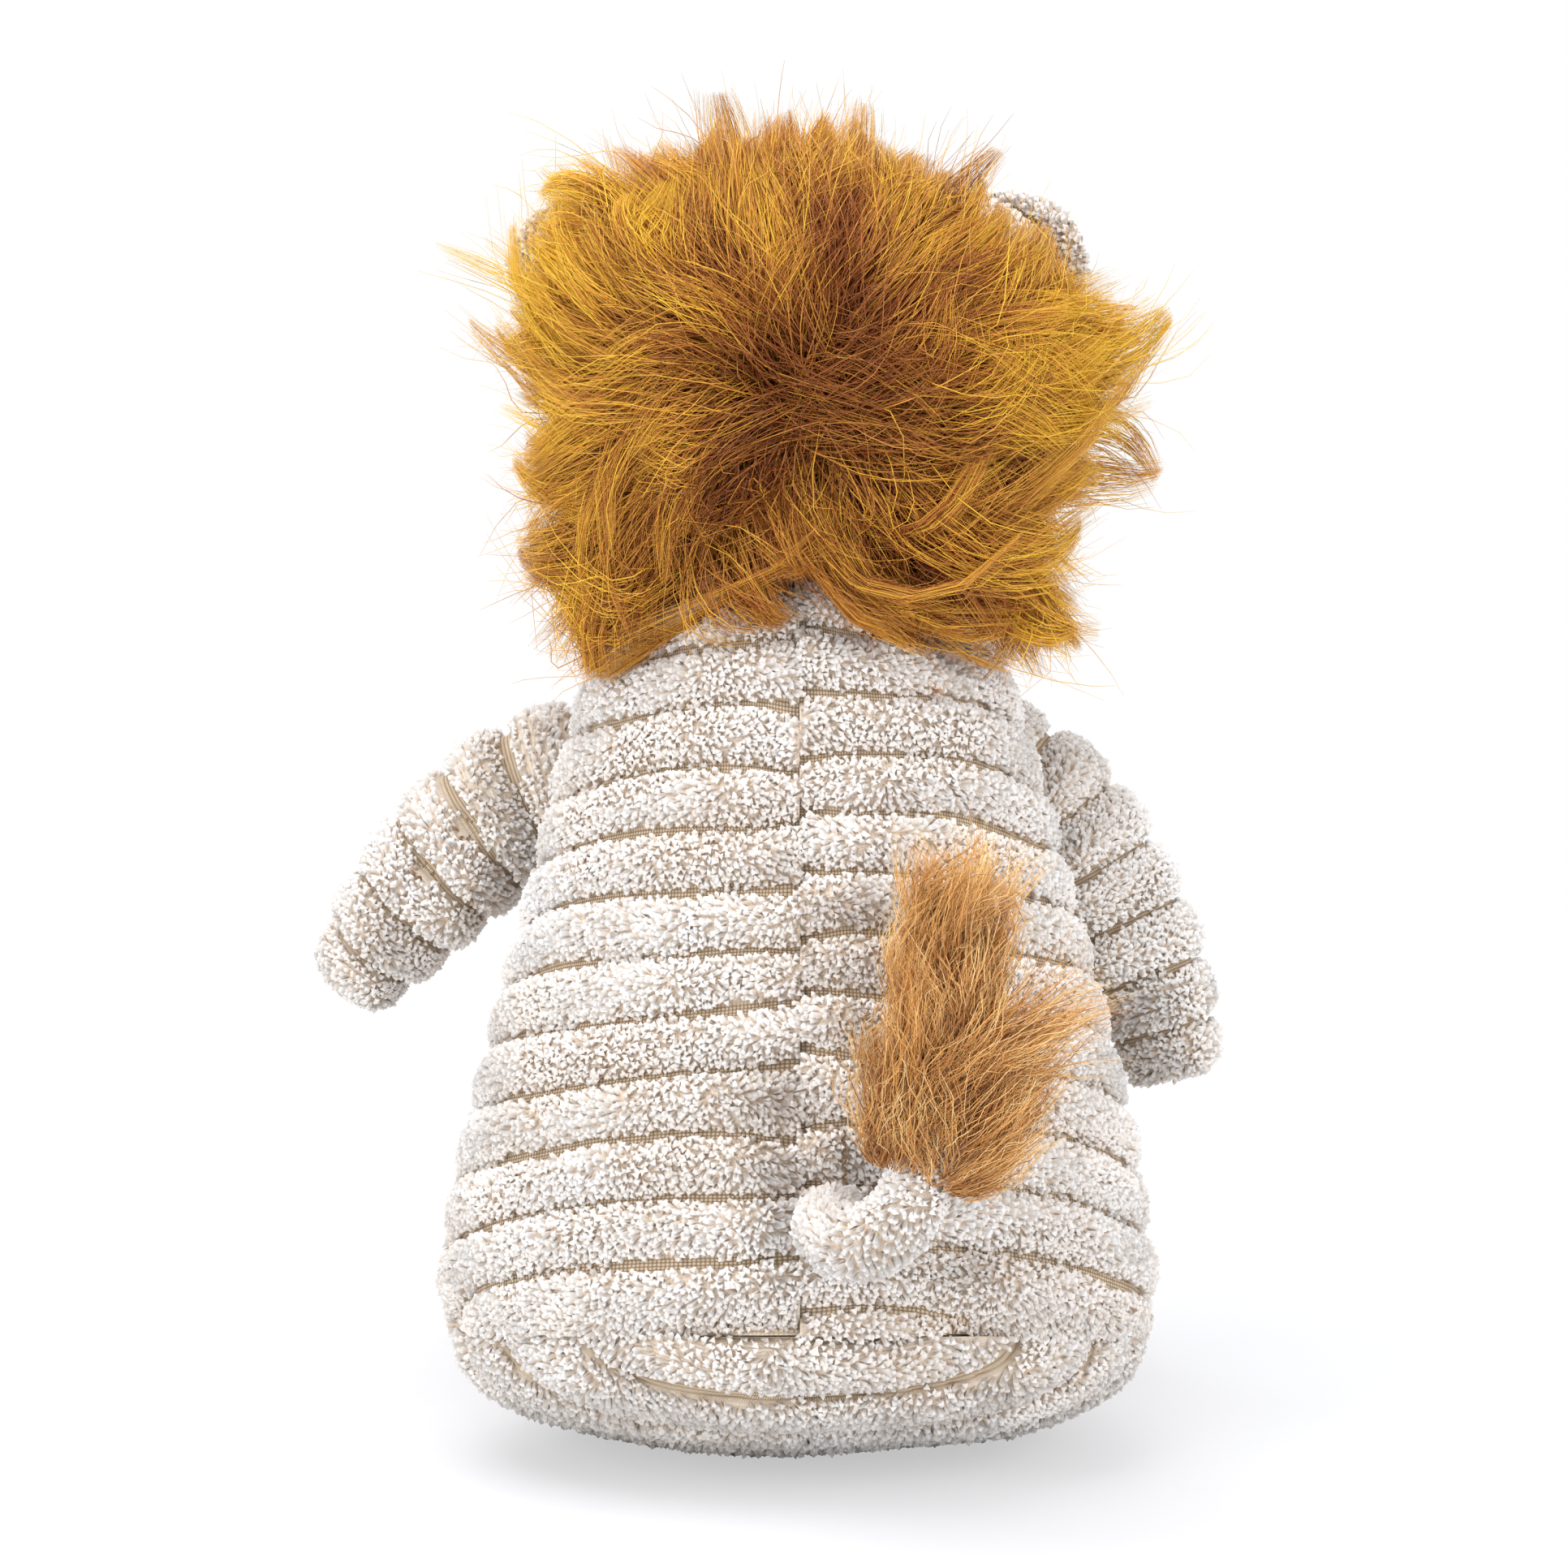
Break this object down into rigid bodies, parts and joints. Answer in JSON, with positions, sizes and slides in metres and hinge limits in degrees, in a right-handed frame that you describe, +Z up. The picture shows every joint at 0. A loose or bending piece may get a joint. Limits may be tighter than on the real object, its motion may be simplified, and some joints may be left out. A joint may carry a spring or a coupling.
{
  "type": "plush lion",
  "caption": "Seated stuffed lion of cream wide-wale plush cord with a weighted domed base, a long golden-brown fur mane, a curled tail with a fur tuft and limbs that bend at their seams.",
  "frame": {"origin": "middle of the small flat where the domed base touches the floor", "axes": "+Z up from the floor, -Y the way the lion faces, +X towards the lion's left"},
  "size_m": [0.2303, 0.2367, 0.3388],
  "materials": {
    "cord": "cream cut-pile plush in wide puffy wales on a tan woven backing that shows in the grooves",
    "pellets": "plastic pellets in a plain linen bag, hidden inside",
    "stuffing": "white polyester fibre filling, hidden inside",
    "mane": "long silky fur in tousled locks, golden at the sides and dark red-brown down the middle",
    "nose": "short brown velour pad",
    "eye": "black domed safety eye, high gloss",
    "washer": "white plastic locking washer inside the face",
    "ear_lining": "short tan plush",
    "sole": "short tan plush",
    "tuft": "long silky fur in one curled lock, tan-gold with paler wisps"
  },
  "bodies": {
    "body": {"base_panel": "cord", "pellet_bag": "pellets", "body_stuffing": "stuffing", "back_panel_left": "cord", "back_panel_right": "cord", "belly_panel": "cord"},
    "neck": {"neck_plug": "stuffing"},
    "head": {"head_stuffing": "stuffing", "face_panel": "cord", "head_back_panel": "cord", "mane_left": "mane", "mane_right": "mane", "muzzle": "cord", "nose": "nose", "eye_left": "eye", "eye_right": "eye", "eye_washer_left": "washer", "eye_washer_right": "washer"},
    "ear_left": {"ear_left_back": "cord", "ear_left_lining": "ear_lining"},
    "ear_right": {"ear_right_back": "cord", "ear_right_lining": "ear_lining"},
    "arm_left": {"arm_left_skin": "cord", "arm_left_stuffing": "stuffing"},
    "arm_right": {"arm_right_skin": "cord", "arm_right_stuffing": "stuffing"},
    "leg_left": {"leg_left_skin": "cord", "leg_left_pellets": "pellets", "sole_left": "sole"},
    "leg_right": {"leg_right_skin": "cord", "leg_right_pellets": "pellets", "sole_right": "sole"},
    "tail": {"tail_stalk": "cord", "tail_tuft": "tuft"}
  },
  "joints": [
    {"name": "head_turn", "type": "hinge", "parent": "body", "child": "neck", "pos_m": [0, -0.00979, 0.2205], "axis": [0, -0.2079, 0.9781], "range_deg": [-20, 20], "stiffness_Nm_per_rad": 0.3},
    {"name": "head_nod", "type": "hinge", "parent": "neck", "child": "head", "pos_m": [0, -0.00979, 0.2205], "axis": [1, 0, 0], "range_deg": [-8, 10], "stiffness_Nm_per_rad": 0.8},
    {"name": "arm_left_raise", "type": "hinge", "parent": "body", "child": "arm_left", "pos_m": [0.04799, -0.03978, 0.15994], "axis": [0, -0.9781, -0.2079], "range_deg": [0, 45], "stiffness_Nm_per_rad": 0.05},
    {"name": "arm_right_raise", "type": "hinge", "parent": "body", "child": "arm_right", "pos_m": [-0.04799, -0.03978, 0.15994], "axis": [0, 0.9781, 0.2079], "range_deg": [0, 45], "stiffness_Nm_per_rad": 0.05},
    {"name": "leg_left_lift", "type": "hinge", "parent": "body", "child": "leg_left", "pos_m": [0.05105, -0.03497, 0.019], "axis": [-0.9563, -0.2924, 0], "range_deg": [0, 20], "stiffness_Nm_per_rad": 0.1},
    {"name": "leg_right_lift", "type": "hinge", "parent": "body", "child": "leg_right", "pos_m": [-0.05105, -0.03497, 0.019], "axis": [-0.9903, 0.1392, 0], "range_deg": [0, 20], "stiffness_Nm_per_rad": 0.1},
    {"name": "ear_left_fold", "type": "hinge", "parent": "head", "child": "ear_left", "pos_m": [0.04544, -0.03493, 0.28586], "axis": [0.4695, 0.1836, -0.8637], "range_deg": [-5, 35], "stiffness_Nm_per_rad": 0.01},
    {"name": "ear_right_fold", "type": "hinge", "parent": "head", "child": "ear_right", "pos_m": [-0.04544, -0.03493, 0.28586], "axis": [0.4695, -0.1836, 0.8637], "range_deg": [-5, 35], "stiffness_Nm_per_rad": 0.01},
    {"name": "tail_wag", "type": "hinge", "parent": "body", "child": "tail", "pos_m": [-0.008, 0.0961, 0.07125], "axis": [0, -0.2079, 0.9781], "range_deg": [-35, 3], "stiffness_Nm_per_rad": 0.03}
  ]
}
